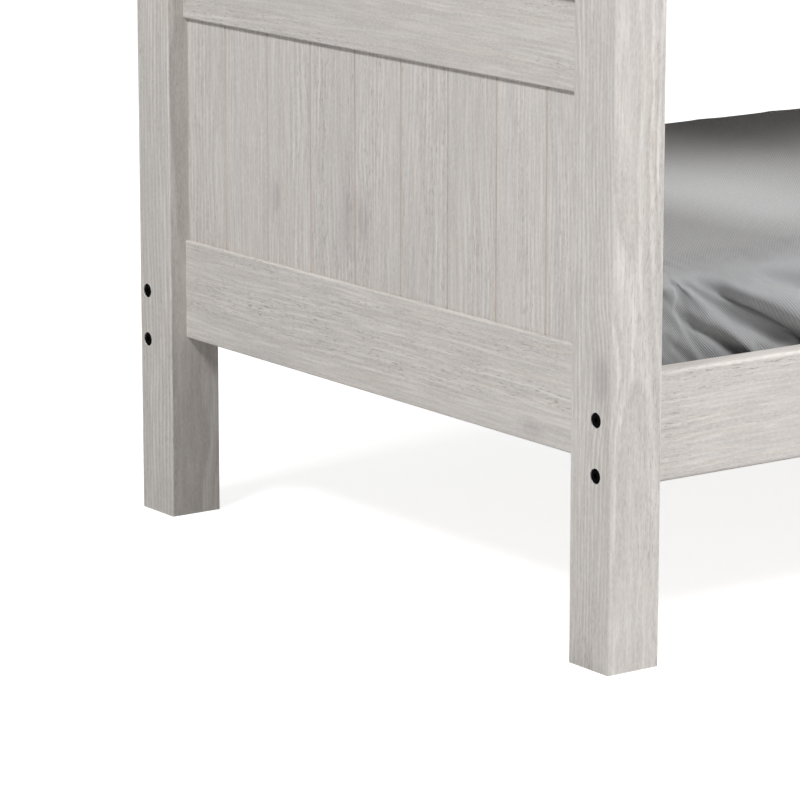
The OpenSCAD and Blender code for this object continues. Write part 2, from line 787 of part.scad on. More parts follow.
lower_fitted_sheet();
upper_mattress();
upper_fitted_sheet();
ladder_left_stringer();
ladder_right_stringer();
ladder_rung_1();
ladder_rung_2();
ladder_rung_3();
ladder_rung_4();
ladder_left_hook();
ladder_right_hook();
ladder_hook_screws();
ladder_rung_screws();
ladder_feet();
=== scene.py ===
# %% [markdown]
# # Bunk bed: materials, bedding, light and camera
# The joinery comes ready made from the CAD frame: posts, boarded ends, rails, slats,
# guards, ladder and fastenings. This lesson gives it a whitewashed wood finish, makes the
# two mattresses and their fitted sheets, and sets a plain studio around it.
# The frame's meshes are never moved or changed, so every real size stays true.

# %% Load the frame
import math
import bmesh
import bpy
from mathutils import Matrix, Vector


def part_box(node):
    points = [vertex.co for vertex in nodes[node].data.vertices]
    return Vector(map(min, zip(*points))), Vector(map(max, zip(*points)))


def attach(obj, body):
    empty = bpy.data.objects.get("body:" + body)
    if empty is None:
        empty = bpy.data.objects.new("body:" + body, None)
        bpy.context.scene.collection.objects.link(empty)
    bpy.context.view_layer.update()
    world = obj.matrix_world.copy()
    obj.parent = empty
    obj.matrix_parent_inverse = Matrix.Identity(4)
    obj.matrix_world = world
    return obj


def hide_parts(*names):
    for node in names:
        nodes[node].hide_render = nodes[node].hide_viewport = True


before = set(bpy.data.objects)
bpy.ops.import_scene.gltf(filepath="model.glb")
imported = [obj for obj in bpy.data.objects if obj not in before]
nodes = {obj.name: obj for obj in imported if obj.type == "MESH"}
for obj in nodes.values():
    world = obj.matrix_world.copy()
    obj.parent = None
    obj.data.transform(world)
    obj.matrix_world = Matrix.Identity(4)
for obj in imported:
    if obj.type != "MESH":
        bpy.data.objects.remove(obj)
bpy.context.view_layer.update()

# %% [markdown]
# ## A small language for shader nodes
# Every finish here is a graph of small steps. `Graph` keeps those steps readable: it adds a
# node, takes either a number or another node's output for each input, and returns the
# output. It could be done by hand in the editor; by code the same finish can be rebuilt
# for each piece with its own seed.

# %% Helper that builds shader graphs
class Graph:
    def __init__(self, tree):
        self.tree = tree

    def add(self, kind, inputs=(), out=0, **settings):
        made = self.tree.nodes.new(kind)
        for name, value in settings.items():
            setattr(made, name, value)
        for key, value in dict(inputs).items():
            self.put(made.inputs[key], value)
        return made if out is None else made.outputs[out]

    def put(self, socket, value):
        if isinstance(value, bpy.types.NodeSocket):
            self.tree.links.new(value, socket)
        else:
            socket.default_value = value

    def math(self, operation, a, b=0.0, c=0.0):
        return self.add("ShaderNodeMath", {0: a, 1: b, 2: c}, operation=operation)

    def vec(self, x=0.0, y=0.0, z=0.0):
        return self.add("ShaderNodeCombineXYZ", {0: x, 1: y, 2: z})

    def vmath(self, operation, a, b=(0.0, 0.0, 0.0)):
        return self.add("ShaderNodeVectorMath", {0: a, 1: b}, operation=operation)

    def noise(self, vector, scale=1.0, detail=2.0, rough=0.5, twist=0.0):
        return self.add("ShaderNodeTexNoise", {"Vector": vector, "Scale": scale, "Detail": detail,
                        "Roughness": rough, "Distortion": twist})

    def mix(self, factor, a, b, blend="MIX"):
        made = self.add("ShaderNodeMix", out=None, data_type="RGBA", blend_type=blend)
        for key, value in (("Factor_Float", factor), ("A_Color", a), ("B_Color", b)):
            self.put(next(s for s in made.inputs if s.identifier == key), value)
        return next(s for s in made.outputs if s.identifier == "Result_Color")

    def ramp(self, value, low, high, to_low=0.0, to_high=1.0):
        return self.add("ShaderNodeMapRange", {"Value": value, "From Min": low, "From Max": high,
                        "To Min": to_low, "To Max": to_high}, interpolation_type="SMOOTHSTEP")

    def bump(self, height, distance, strength=1.0):
        return self.add("ShaderNodeBump", {"Height": height, "Distance": distance, "Strength": strength})


def new_material(name):
    mat = bpy.data.materials.new(name)
    mat.use_nodes = True
    mat.node_tree.nodes.clear()
    return mat, Graph(mat.node_tree)


def finish_material(g, color, rough, normal=None, **sockets):
    shader = g.add("ShaderNodeBsdfPrincipled", {"Base Color": color, "Roughness": rough}, out=None)
    for name, value in sockets.items():
        g.put(shader.inputs[name.replace("_", " ")], value)
    if normal is not None:
        g.put(shader.inputs["Normal"], normal)
    g.add("ShaderNodeOutputMaterial", {"Surface": shader.outputs["BSDF"]}, out=None)


def colour(r, g, b):
    return (r, g, b, 1.0)

# %% [markdown]
# ## Whitewashed wood
# Pale grey-white stain over softwood. Real stain settles unevenly: thinner over the hard late-wood lines
# and the pores, thicker and creamier on soft early wood. The rounded edges get a painted highlight: a pale
# cream colour where the bevelled normal turns away from the face.
# The group below works in a frame where X is the length of the grain. Growth rings are
# drawn as circles round a pith outside the piece, bent by slow noise, which gives straight
# lines on quarter faces and arches on flat ones without any picture.

# %% The whitewash group
wash = bpy.data.node_groups.new("whitewash", "ShaderNodeTree")
for name, kind in (("Place", "NodeSocketVector"), ("Seed", "NodeSocketFloat"), ("Shade", "NodeSocketFloat"),
                   ("Rings", "NodeSocketFloat"), ("Knot", "NodeSocketFloat"), ("Joint", "NodeSocketFloat")):
    wash.interface.new_socket(name, in_out="INPUT", socket_type=kind)
for name, kind in (("Color", "NodeSocketColor"), ("Roughness", "NodeSocketFloat"),
                   ("Normal", "NodeSocketVector")):
    wash.interface.new_socket(name, in_out="OUTPUT", socket_type=kind)
g = Graph(wash)
given = g.add("NodeGroupInput", out=None)
place, seed, shade, rings_amount, planned_knot, joint = (given.outputs[i] for i in range(6))
parts = g.add("ShaderNodeSeparateXYZ", {0: place}, out=None)
along, across, deep = (parts.outputs[i] for i in range(3))
shift = g.vec(*(g.math("MULTIPLY", seed, step) for step in (3.17, 7.31, 1.93)))


def stretched(a, b, c):
    scaled = g.vec(g.math("MULTIPLY", along, a), g.math("MULTIPLY", across, b), g.math("MULTIPLY", deep, c))
    return g.vmath("ADD", scaled, shift)


# %% Growth rings round a pith that lies outside the piece
sway = g.noise(stretched(1.3, 5.0, 5.0), detail=2)
ripple = g.noise(stretched(7.0, 34.0, 34.0), detail=2)
pith = g.ramp(g.math("SINE", g.math("MULTIPLY", seed, 5.3)), -1.0, 1.0, 0.035, 0.12)
away = g.vec(0.0, g.math("ADD", across, 0.02), g.math("ADD", deep, pith))
radius = g.add("ShaderNodeVectorMath", {0: away}, out=1, operation="LENGTH")
radius = g.math("MULTIPLY_ADD", g.math("SUBTRACT", sway, 0.5), 0.085, radius)
radius = g.math("MULTIPLY_ADD", g.math("SUBTRACT", ripple, 0.5), 0.0085, radius)
radius = g.math("MULTIPLY_ADD", g.math("POWER", planned_knot, 0.5), 0.009, radius)
tremble = g.noise(stretched(30.0, 120.0, 120.0), detail=2)
radius = g.math("MULTIPLY_ADD", g.math("SUBTRACT", tremble, 0.5), 0.0030, radius)
ring = g.math("FRACT", g.math("DIVIDE", radius, 0.0080))
late = g.math("MULTIPLY", g.ramp(ring, 0.30, 0.88), g.ramp(ring, 1.0, 0.88))
patchy = g.ramp(g.noise(stretched(2.0, 16.0, 16.0)), 0.32, 0.60, 0.12, 1.0)
late = g.math("MULTIPLY", late, patchy)
pale = g.math("MULTIPLY", g.math("MULTIPLY", g.ramp(ring, 0.02, 0.12), g.ramp(ring, 0.42, 0.14)), patchy)

# %% Fibres, pores, clouds of stain and a few small knots
fibre = g.noise(stretched(16.0, 300.0, 300.0), detail=3, rough=0.6)
streak = g.noise(stretched(4.5, 85.0, 85.0), detail=3, twist=0.3)
pores = g.ramp(g.noise(stretched(75.0, 560.0, 560.0), detail=2), 0.56, 0.70)
speckle = g.noise(stretched(170.0, 480.0, 480.0), detail=2)
pores = g.math("MULTIPLY", pores, g.ramp(g.noise(stretched(1.6, 22.0, 22.0)), 0.42, 0.62, 0.15, 1.0))
clouds = g.noise(stretched(1.8, 10.0, 10.0), detail=3)
warm = g.noise(stretched(2.2, 190.0, 190.0), detail=2)
cells = g.add("ShaderNodeTexVoronoi", {"Vector": stretched(2.3, 7.5, 7.5), "Scale": 1.0}, out=None)
knot = g.ramp(cells.outputs["Distance"], 0.17, 0.05)
knot = g.math("MULTIPLY", knot, g.ramp(cells.outputs["Color"], 0.52, 0.56))
halo = g.ramp(cells.outputs["Distance"], 0.36, 0.12)
halo = g.math("MULTIPLY", halo, g.ramp(cells.outputs["Color"], 0.52, 0.56))
knot = g.math("MAXIMUM", knot, g.ramp(planned_knot, 0.60, 0.90))
halo = g.math("MAXIMUM", halo, g.ramp(planned_knot, 0.05, 0.65))

# %% Colour of the stain, and a painted highlight along the edges
stain = g.mix(g.ramp(clouds, 0.36, 0.64), colour(0.612, 0.584, 0.556), colour(0.680, 0.650, 0.617))
stain = g.mix(g.ramp(warm, 0.50, 0.66, 0.0, 0.55), stain, colour(0.640, 0.578, 0.515))
stain = g.mix(g.math("MULTIPLY", late, rings_amount), stain, colour(0.390, 0.358, 0.335))
stain = g.mix(g.math("MULTIPLY", pale, rings_amount), stain, colour(0.80, 0.772, 0.738))
stain = g.mix(g.ramp(streak, 0.38, 0.68, 0.0, 0.42), stain, colour(0.490, 0.462, 0.440))
stain = g.mix(g.ramp(fibre, 0.36, 0.66, 0.0, 0.50), stain, colour(0.455, 0.428, 0.405))
stain = g.mix(g.ramp(speckle, 0.40, 0.66, 0.0, 0.22), stain, colour(0.80, 0.775, 0.745))
pore_depth = g.math("MULTIPLY_ADD", rings_amount, -0.75, 0.72)
stain = g.mix(g.math("MULTIPLY", pores, pore_depth), stain, colour(0.265, 0.238, 0.225))
stain = g.mix(g.math("MULTIPLY", halo, 0.13), stain, colour(0.42, 0.385, 0.385))
knot_depth = g.ramp(streak, 0.3, 0.7, 0.12, 0.42)
stain = g.mix(g.math("MULTIPLY", knot, knot_depth), stain, colour(0.290, 0.258, 0.258))
# Painted highlight: where the bevelled normal turns from the face, the colour is lifted towards pale cream.
# This stands in for light caught by the rounded edges.
rounded = g.add("ShaderNodeBevel", {"Radius": 0.0032}, samples=3)
true_face = g.add("ShaderNodeNewGeometry", out=None).outputs["Normal"]
facing = g.add("ShaderNodeVectorMath", {0: rounded, 1: true_face}, out=1, operation="DOT_PRODUCT")
edge = g.ramp(facing, 0.995, 0.86)
stain = g.mix(g.math("MULTIPLY", edge, 0.65), stain, colour(0.80, 0.755, 0.705))
stain = g.mix(joint, stain, colour(0.400, 0.325, 0.265))
tone = g.math("ADD", 1.0, shade)
stain = g.mix(1.0, stain, g.vec(tone, tone, tone), blend="MULTIPLY")

# %% Sheen and relief of the stain
rough = g.math("ADD", g.ramp(fibre, 0.3, 0.7, 0.50, 0.62), g.math("MULTIPLY", pores, 0.12))
relief = g.math("MULTIPLY_ADD", fibre, 0.35, g.math("MULTIPLY", pores, -0.9))
relief = g.math("MULTIPLY_ADD", late, 0.10, relief)
given_out = g.add("NodeGroupOutput", out=None)
for key, value in (("Color", stain), ("Roughness", rough), ("Normal", g.bump(relief, 0.00035, 0.8))):
    g.put(given_out.inputs[key], value)

# %% [markdown]
# ## One finish per timber
# Each timber is cut from its own plank, so each gets its own seed and a slightly different
# tone. The grain runs along posts and boards, across the ends, and along the side rails.
# Board panels and slats are many boards in one node, so the board's number is worked out
# from its place, shifts the pattern board by board, and darkens the joint between boards,
# where stain gathers.

# %% Helper that gives a timber its finish
ORDER = {"x": (0, 1, 2), "y": (1, 0, 2), "z": (2, 0, 1)}
LEAN = math.radians(10)


KNOTS = {"front_left_post": [(-1.040, -0.369, 0.374, 0.017)],
         "lower_left_bottom_rail": [(-1.0135, -0.195, 0.273, 0.011)],
         "lower_left_panel_boards": [(-1.007, 0.391, 0.490, 0.012), (-1.007, 0.184, 0.488, 0.015)]}


def knot_spots(g, coords, axis, spots):
    found = 0.0
    for x, y, z, size in spots:
        stretch = [1 / size] * 3
        stretch[ORDER[axis][0]] *= 0.42
        away = g.vmath("MULTIPLY", g.vmath("SUBTRACT", coords, (x, y, z)), tuple(stretch))
        far = g.add("ShaderNodeVectorMath", {0: away}, out=1, operation="LENGTH")
        found = g.math("MAXIMUM", found, g.ramp(far, 2.2, 0.0))
    return found


def timber_material(name, axis, centre, seed, tone, pitch=None, rings=0.3, knots=()):
    mat, g = new_material(name)
    coords = g.add("ShaderNodeTexCoord", out=None).outputs["Object"]
    spots = knot_spots(g, coords, axis, knots)
    local = g.vmath("SUBTRACT", coords, tuple(centre))
    if axis == "lean":
        local = g.add("ShaderNodeVectorRotate", {"Vector": local, "Axis": (1.0, 0.0, 0.0), "Angle": LEAN})
        axis = "z"
    xyz = g.add("ShaderNodeSeparateXYZ", {0: local}, out=None).outputs
    place = [xyz[i] for i in ORDER[axis]]
    seed_in, tone_in, joint = seed, tone, 0.0
    if pitch:
        side = 2  # boards stand side by side along Y, the third value of a grain frame along Z
        number = g.math("FLOOR", g.math("DIVIDE", g.math("ADD", place[side], 40.5 * pitch), pitch))
        own = g.add("ShaderNodeTexWhiteNoise", {"W": number}, noise_dimensions="1D")
        steps = g.math("SUBTRACT", number, 40.0)
        place[side] = g.math("SUBTRACT", place[side], g.math("MULTIPLY", steps, pitch))
        seed_in = g.math("MULTIPLY_ADD", own, 9.0, seed)
        joint = g.ramp(g.math("ABSOLUTE", place[side]), pitch / 2 - 0.0030, pitch / 2 - 0.0008, 0.0, 0.45)
        tone_in = g.math("MULTIPLY_ADD", g.math("SUBTRACT", own, 0.5), 0.05, tone)
    group = g.add("ShaderNodeGroup", out=None, node_tree=wash)
    for key, value in (("Place", g.vec(*place)), ("Seed", seed_in), ("Shade", tone_in), ("Rings", rings),
                       ("Knot", spots), ("Joint", joint)):
        g.put(group.inputs[key], value)
    finish_material(g, group.outputs["Color"], group.outputs["Roughness"], group.outputs["Normal"],
                    Specular_IOR_Level=0.35)
    return mat


def give(name, material):
    node = nodes[name]
    node.data.materials.clear()
    node.data.materials.append(material)


# %% Finish every whitewashed timber
AXIS = {"post": "z", "boards": "z", "stile": "z", "upright": "z", "stringer": "lean",
        "bottom_rail": "y", "top_rail": "y", "cap": "y"}
timbers = [n for n in nodes if n.split("_")[-1] in
           ("post", "rail", "boards", "cap", "cleat", "board", "stile", "upright", "stringer")
           or n.startswith("ladder_rung_") and n[-1].isdigit()]
for index, name in enumerate(sorted(timbers)):
    axis = next((a for ending, a in AXIS.items() if name.endswith(ending)), "x")
    low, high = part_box(name)
    centre = [(a + b) / 2 for a, b in zip(low, high)]
    pitch = (high[1] - low[1]) / 9 if name.endswith("boards") else None
    tone = 0.03 * math.sin(index * 2.4)
    rings = 0.50 if name.endswith(("post", "stile", "stringer")) else 0.36 if pitch else 0.22
    give(name, timber_material("wood_" + name, axis, centre, 1.7 + index * 0.83, tone, pitch, rings,
                               KNOTS.get(name, ())))
print("timbers finished:", len(timbers))

# %% [markdown]
# ## Bare beech, pine dowels, steel, webbing and rubber
# The slats and dowels are hidden under the bedding and stay unstained. The bolts and hooks
# are black steel, matt where the coating is thick and bright where a key has rubbed it.

# %% Bare wood for slats and dowels
def bare_wood(name, light, dark, axis, pitch=None):
    mat, g = new_material(name)
    coords = g.add("ShaderNodeTexCoord", out=None).outputs["Object"]
    xyz = g.add("ShaderNodeSeparateXYZ", {0: coords}, out=None).outputs
    a, b, c = (xyz[i] for i in ORDER[axis])
    own = 0.0
    if pitch:
        number = g.math("ROUND", g.math("DIVIDE", g.math("ADD", b, pitch[1]), pitch[0]))
        own = g.add("ShaderNodeTexWhiteNoise", {"W": number}, noise_dimensions="1D")
    jump = g.math("MULTIPLY", own, 5.0)
    wide = g.noise(g.vec(g.math("MULTIPLY_ADD", a, 1.5, jump), g.math("MULTIPLY_ADD", b, 24.0, jump),
                         g.math("MULTIPLY", c, 24.0)), detail=3, twist=0.6)
    fibres = g.vec(g.math("MULTIPLY", a, 11.0), g.math("MULTIPLY", b, 420.0), g.math("MULTIPLY", c, 420.0))
    fine = g.noise(fibres, detail=2)
    lines = g.math("FRACT", g.math("MULTIPLY", wide, 9.0))
    tint = g.mix(g.ramp(lines, 0.2, 1.0, 0.0, 0.7), light, dark)
    tint = g.mix(g.ramp(fine, 0.45, 0.75, 0.0, 0.45), tint, dark)
    level = g.math("MULTIPLY_ADD", own, 0.16, 0.90)
    tint = g.mix(1.0, tint, g.vec(level, level, level), blend="MULTIPLY")
    finish_material(g, tint, g.ramp(fine, 0.3, 0.7, 0.55, 0.72), g.bump(fine, 0.0003, 0.6))
    return mat


slat_low, slat_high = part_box("lower_slats")
slat_pitch = (slat_high[0] - slat_low[0] - 0.07) / 13
slat_mat = bare_wood("bare_slats", colour(0.66, 0.51, 0.335), colour(0.47, 0.33, 0.20), "y",
                     (slat_pitch, -slat_low[0] - 0.035))
for name in ("lower_slats", "upper_slats"):
    give(name, slat_mat)
dowel_mat = bare_wood("bare_dowels", colour(0.60, 0.44, 0.27), colour(0.42, 0.28, 0.16), "y")
give("dowels", dowel_mat)


# %% Steel, coated and plated
def steel(name, tint, worn, rough, metallic, grain):
    mat, g = new_material(name)
    coords = g.add("ShaderNodeTexCoord", out=None).outputs["Object"]
    coat = g.noise(coords, scale=grain, detail=3)
    blot = g.noise(coords, scale=90.0, detail=2)
    rub = g.add("ShaderNodeBevel", {"Radius": 0.0008}, samples=3)
    true_face = g.add("ShaderNodeNewGeometry", out=None).outputs["Normal"]
    facing = g.add("ShaderNodeVectorMath", {0: rub, 1: true_face}, out=1, operation="DOT_PRODUCT")
    wear = g.math("MULTIPLY", g.ramp(facing, 0.99, 0.8), g.ramp(blot, 0.45, 0.65))
    shine = g.math("MULTIPLY_ADD", g.math("SUBTRACT", blot, 0.5), 0.25, rough)
    finish_material(g, g.mix(g.math("MULTIPLY", wear, 0.5), tint, worn), shine,
                    g.bump(coat, 0.00008, 0.5), Metallic=metallic,
                    Specular_IOR_Level=0.5 if metallic else 0.04)
    return mat


black = steel("black_coated_steel", colour(0.002, 0.002, 0.002), colour(0.012, 0.012, 0.012),
              0.60, 0.0, 2600.0)
zinc = steel("zinc_plated_steel", colour(0.50, 0.51, 0.53), colour(0.72, 0.72, 0.72), 0.36, 1.0, 1800.0)
for name in ("bed_bolts", "guard_screws", "ladder_left_hook", "ladder_right_hook", "ladder_hook_screws",
             "ladder_rung_screws"):
    give(name, black)
for name in ("barrel_nuts", "cleat_screws"):
    give(name, zinc)


# %% Webbing straps: a plain weave of flat yarns, a little soiled along the strap
def weave(g, u, v, size):
    over = g.math("SINE", g.math("MULTIPLY", u, 2 * math.pi / size))
    under = g.math("SINE", g.math("MULTIPLY", v, 2 * math.pi / size))
    return g.ramp(g.math("MULTIPLY", over, under), -1.0, 1.0)


mat, g = new_material("cotton_webbing")
coords = g.add("ShaderNodeTexCoord", out=None).outputs["Object"]
xyz = g.add("ShaderNodeSeparateXYZ", {0: coords}, out=None).outputs
cross = weave(g, xyz[0], xyz[1], 0.0026)
soil = g.noise(g.vec(g.math("MULTIPLY", xyz[0], 9.0), g.math("MULTIPLY", xyz[1], 60.0), 0.0), detail=3)
tint = g.mix(cross, colour(0.52, 0.49, 0.44), colour(0.71, 0.68, 0.62))
tint = g.mix(g.ramp(soil, 0.4, 0.7, 0.0, 0.35), tint, colour(0.50, 0.46, 0.40))
finish_material(g, tint, g.ramp(soil, 0.3, 0.7, 0.80, 0.92), g.bump(cross, 0.0004, 0.8))
for name in ("lower_slat_straps", "upper_slat_straps"):
    give(name, mat)

# %% Rubber feet under the ladder: dark, dusty low down, with a fine moulded grain
mat, g = new_material("foot_rubber")
coords = g.add("ShaderNodeTexCoord", out=None).outputs["Object"]
height = g.add("ShaderNodeSeparateXYZ", {0: coords}, out=None).outputs[2]
specks = g.ramp(g.noise(coords, scale=160.0, detail=3), 0.4, 0.7)
dust = g.math("MULTIPLY", g.ramp(height, 0.008, 0.0), specks)
grain = g.noise(coords, scale=1500.0, detail=2)
finish_material(g, g.mix(dust, colour(0.018, 0.018, 0.018), colour(0.12, 0.115, 0.11)),
                g.ramp(grain, 0.3, 0.7, 0.62, 0.8), g.bump(grain, 0.0002, 0.5))
give("ladder_feet", mat)

# %% [markdown]
# ## Mattresses
# A mattress is a soft block of foam in a knitted cover. It could be pumped up by a cloth
# simulation, but under a tight sheet only its rounded edges tell, so it is a cube with its
# upright corners and then its long edges bevelled. It is drawn a little narrower than its
# CAD block so that the sheet's folds have room to sink in.

# %% Ticking: knitted cover with a small diamond quilt
mat, g = new_material("knitted_ticking")
coords = g.add("ShaderNodeTexCoord", out=None).outputs["Object"]
xyz = g.add("ShaderNodeSeparateXYZ", {0: coords}, out=None).outputs
sum_xy = g.math("MULTIPLY", g.math("ADD", xyz[0], xyz[1]), 2 * math.pi / 0.11)
dif_xy = g.math("MULTIPLY", g.math("SUBTRACT", xyz[0], xyz[1]), 2 * math.pi / 0.11)
quilt = g.math("MAXIMUM", *(g.ramp(g.math("COSINE", line), 0.93, 1.0) for line in (sum_xy, dif_xy)))
knit = weave(g, xyz[0], g.math("ADD", xyz[1], xyz[2]), 0.0035)
shade_noise = g.noise(coords, scale=7.0, detail=3)
tint = g.mix(knit, colour(0.66, 0.655, 0.63), colour(0.78, 0.775, 0.75))
tint = g.mix(g.math("MULTIPLY", quilt, 0.35), tint, colour(0.52, 0.51, 0.49))
tint = g.mix(g.ramp(shade_noise, 0.4, 0.7, 0.0, 0.2), tint, colour(0.62, 0.60, 0.56))
finish_material(g, tint, g.ramp(knit, 0.0, 1.0, 0.82, 0.92),
                g.bump(g.math("SUBTRACT", knit, quilt), 0.0006, 0.8))
ticking = mat


# %% Build one mattress from its CAD block
def soft_block(name, low, high, corner, edge, steps):
    mesh = bpy.data.meshes.new(name)
    bm = bmesh.new()
    bmesh.ops.create_cube(bm, size=1.0)
    size, middle = high - low, (high + low) / 2
    bmesh.ops.scale(bm, vec=size, verts=bm.verts)
    bmesh.ops.translate(bm, vec=middle, verts=bm.verts)
    upright = [e for e in bm.edges if abs(e.verts[0].co.z - e.verts[1].co.z) > size.z / 2]
    bmesh.ops.bevel(bm, geom=upright, offset=corner, offset_type="OFFSET", segments=steps, profile=0.5,
                    affect="EDGES", material=-1)
    level = [e for e in bm.edges if abs(e.verts[0].co.z - e.verts[1].co.z) < 1e-6
             and any(abs(f.normal.z) > 0.9 for f in e.link_faces)]
    bmesh.ops.bevel(bm, geom=level, offset=edge, offset_type="OFFSET", segments=steps, profile=0.5,
                    affect="EDGES", material=-1)
    bmesh.ops.recalc_face_normals(bm, faces=bm.faces)
    bm.to_mesh(mesh)
    bm.free()
    mesh.shade_smooth()
    obj = bpy.data.objects.new(name, mesh)
    bpy.context.scene.collection.objects.link(obj)
    return obj


SINK = 0.016
pads = {}
for level in ("lower", "upper"):
    low, high = (Vector(v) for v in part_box(level + "_mattress"))
    pad = soft_block(level + "_pad", low + Vector((SINK, SINK, 0)), high - Vector((SINK, SINK, 0.002)),
                     0.045 - SINK, 0.022, 5)
    pad.data.materials.append(ticking)
    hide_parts(level + "_mattress")
    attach(pad, level + "_bedding")
    pads[level] = pad
    print(pad.name, [round(v, 3) for v in pad.dimensions])

# %% [markdown]
# ## Fitted sheets
# A fitted sheet is a flat top sewn to a side band, whose lower edge is gathered under the
# mattress. Pulled on from one corner, the band is dragged along the side, so slack runs
# down it in slanting folds with a sharp lip over a dark pocket. The sheet starts as a fine
# grid over the block, is given a few slack folds, and then a cloth simulation drags its
# hem and lets it settle against the mattress and the rails.

# %% Grid over the block, then the band run down the sides
def spaced(count, low, high, dense_to, share):
    cut_at = round(count * share)
    first = [low + (dense_to - low) * i / cut_at for i in range(cut_at)]
    return first + [dense_to + (high - dense_to) * i / (count - cut_at) for i in range(count - cut_at + 1)]


def sheet_grid(name, low, high, columns, rows, band, depth):
    mesh = bpy.data.meshes.new(name)
    bm = bmesh.new()
    bmesh.ops.create_grid(bm, x_segments=len(columns) - 1, y_segments=len(rows) - 1, size=1.0)
    for v in bm.verts:
        i = round((v.co.x + 1) / 2 * (len(columns) - 1))
        j = round((v.co.y + 1) / 2 * (len(rows) - 1))
        v.co = Vector((columns[i], rows[j], high.z))
    rim = [e for e in bm.edges if e.is_boundary]
    for step in range(band):
        made = bmesh.ops.extrude_edge_only(bm, edges=rim)["geom"]
        fresh = [v for v in made if isinstance(v, bmesh.types.BMVert)]
        bmesh.ops.translate(bm, vec=(0, 0, -depth / band), verts=fresh)
        rim = [e for e in made if isinstance(e, bmesh.types.BMEdge) and e.is_boundary]
    bmesh.ops.recalc_face_normals(bm, faces=bm.faces)
    if sum(f.normal.z for f in bm.faces) < 0:
        bmesh.ops.reverse_faces(bm, faces=bm.faces)
    bm.to_mesh(mesh)
    bm.free()
    return mesh


# %% Round the corners and edges of that box
def round_box(p, low, high, corner, edge):
    core = Vector((min(max(p.x, low.x + corner), high.x - corner),
                   min(max(p.y, low.y + corner), high.y - corner), p.z))
    out = Vector((p.x - core.x, p.y - core.y, 0))
    reach = max(abs(out.x), abs(out.y))
    if reach == 0:
        return p.copy(), Vector()
    out.normalize()
    place = core + out * reach
    inset, drop = corner - reach, high.z - p.z
    past = inset if drop < 1e-6 else -drop
    if abs(past) < edge:
        turn = (edge - past) / (2 * edge) * math.pi / 2
        place += out * (inset - edge * (1 - math.sin(turn)))
        place.z = high.z - edge * (1 - math.cos(turn))
    under = drop - (high.z - low.z - edge)
    if under > 0:
        turn = min(under / edge, math.pi / 2)
        place -= out * edge * (1 - math.cos(turn))
        place.z = low.z + edge * (1 - math.sin(turn))
    return place, out

# %% [markdown]
# The slack folds are ridges along slanting lines. Each has a steep lower face and a gentle
# upper one, so it reads as a sharp lip over a pocket. `FOLDS` lists them as start, end, width and
# height, measured along the side from its left end and down from its top.

# %% Slack folds
FOLDS = [(0.100, 0.000, 0.284, 0.116, 0.015, 1.35), (0.056, 0.045, 0.178, 0.120, 0.016, 0.90),
         (0.030, 0.075, 0.110, 0.125, 0.015, 0.40)]


def more_folds(length, height, start, seed):
    made, place = [], start
    while place < length - 0.16:
        chance = [0.5 + 0.5 * math.sin(seed * 7.1 + place * k) for k in (37.0, 91.0, 53.0, 17.0)]
        run = 0.09 + 0.12 * chance[0]
        top = 0.01 + 0.05 * chance[1]
        made.append((place, top, place + run, min(top + run * (0.55 + 0.3 * chance[2]), height),
                     0.010 + 0.008 * chance[3], 0.45 + 0.5 * chance[2]))
        place += 0.045 + 0.085 * chance[1]
    return made


def slack(along, down, folds):
    out, lean_along, lean_down = 0.0, 0.0, 0.0
    for x0, d0, x1, d1, width, size in folds:
        run, fall = x1 - x0, d1 - d0
        length = math.hypot(run, fall)
        t = ((along - x0) * run + (down - d0) * fall) / length ** 2
        if not -0.2 < t < 1.3:
            continue
        bow = 0.07 * length * math.sin(math.pi * min(max(t, 0), 1))
        off = ((along - x0) * fall - (down - d0) * run) / length - bow
        fade = min(1.0, (t + 0.2) / 0.4) * min(1.0, (1.3 - t) / 0.3) * (0.75 + 0.45 * min(max(t, 0), 1))
        lip = math.exp(-((off - 0.3 * width) / ((0.6 if off < 0.3 * width else 3.4) * width)) ** 2)
        pocket = math.exp(-((off + 0.6 * width) / ((2.6 if off < -0.6 * width else 0.7) * width)) ** 2)
        out += size * fade * (0.015 * lip - 0.015 * pocket)
        shift = size * fade * 0.60 * width * math.exp(-((off - 0.3 * width) / (0.9 * width)) ** 2)
        lean_along -= shift * fall / length
        lean_down += shift * run / length
    return out, lean_along, lean_down


# %% Which side a point belongs to, and how far along that side it is
def side_of(p, low, high):
    gaps = {"front": p.y - low.y, "rear": high.y - p.y, "left": p.x - low.x, "right": high.x - p.x}
    side = min(gaps, key=gaps.get)
    along = {"front": p.x - low.x, "rear": high.x - p.x, "left": high.y - p.y, "right": p.y - low.y}[side]
    return side, along


WAY = {"front": Vector((1, 0, 0)), "rear": Vector((-1, 0, 0)),
       "left": Vector((0, -1, 0)), "right": Vector((0, 1, 0))}


def end_fade(along, length):
    return min(1.0, along / 0.05) * min(1.0, (length - along) / 0.05)

# %% [markdown]
# The cloth's ribs are drawn from a UV map in metres, laid out like the cut cloth: the top
# as one panel, and each side band as its own, so that the ribs slant the other way there.
# The bands are pulled down tight, which draws their ribs closer together.

# %% Lay the pattern out flat
CLOSER = 1.35


def lay_flat(mesh, low, high):
    uv = mesh.uv_layers.new(name="cut_cloth")
    for face in mesh.polygons:
        middle = face.center
        is_top = middle.z > high.z - 1e-5
        side = side_of(middle, low, high)[0]
        for loop in face.loop_indices:
            p = mesh.vertices[mesh.loops[loop].vertex_index].co
            run = {"front": p.x, "rear": -p.x, "left": -p.y, "right": p.y}[side]
            uv.data[loop].uv = (p.x, p.y) if is_top else (run * CLOSER, -5.0 - p.z * CLOSER)

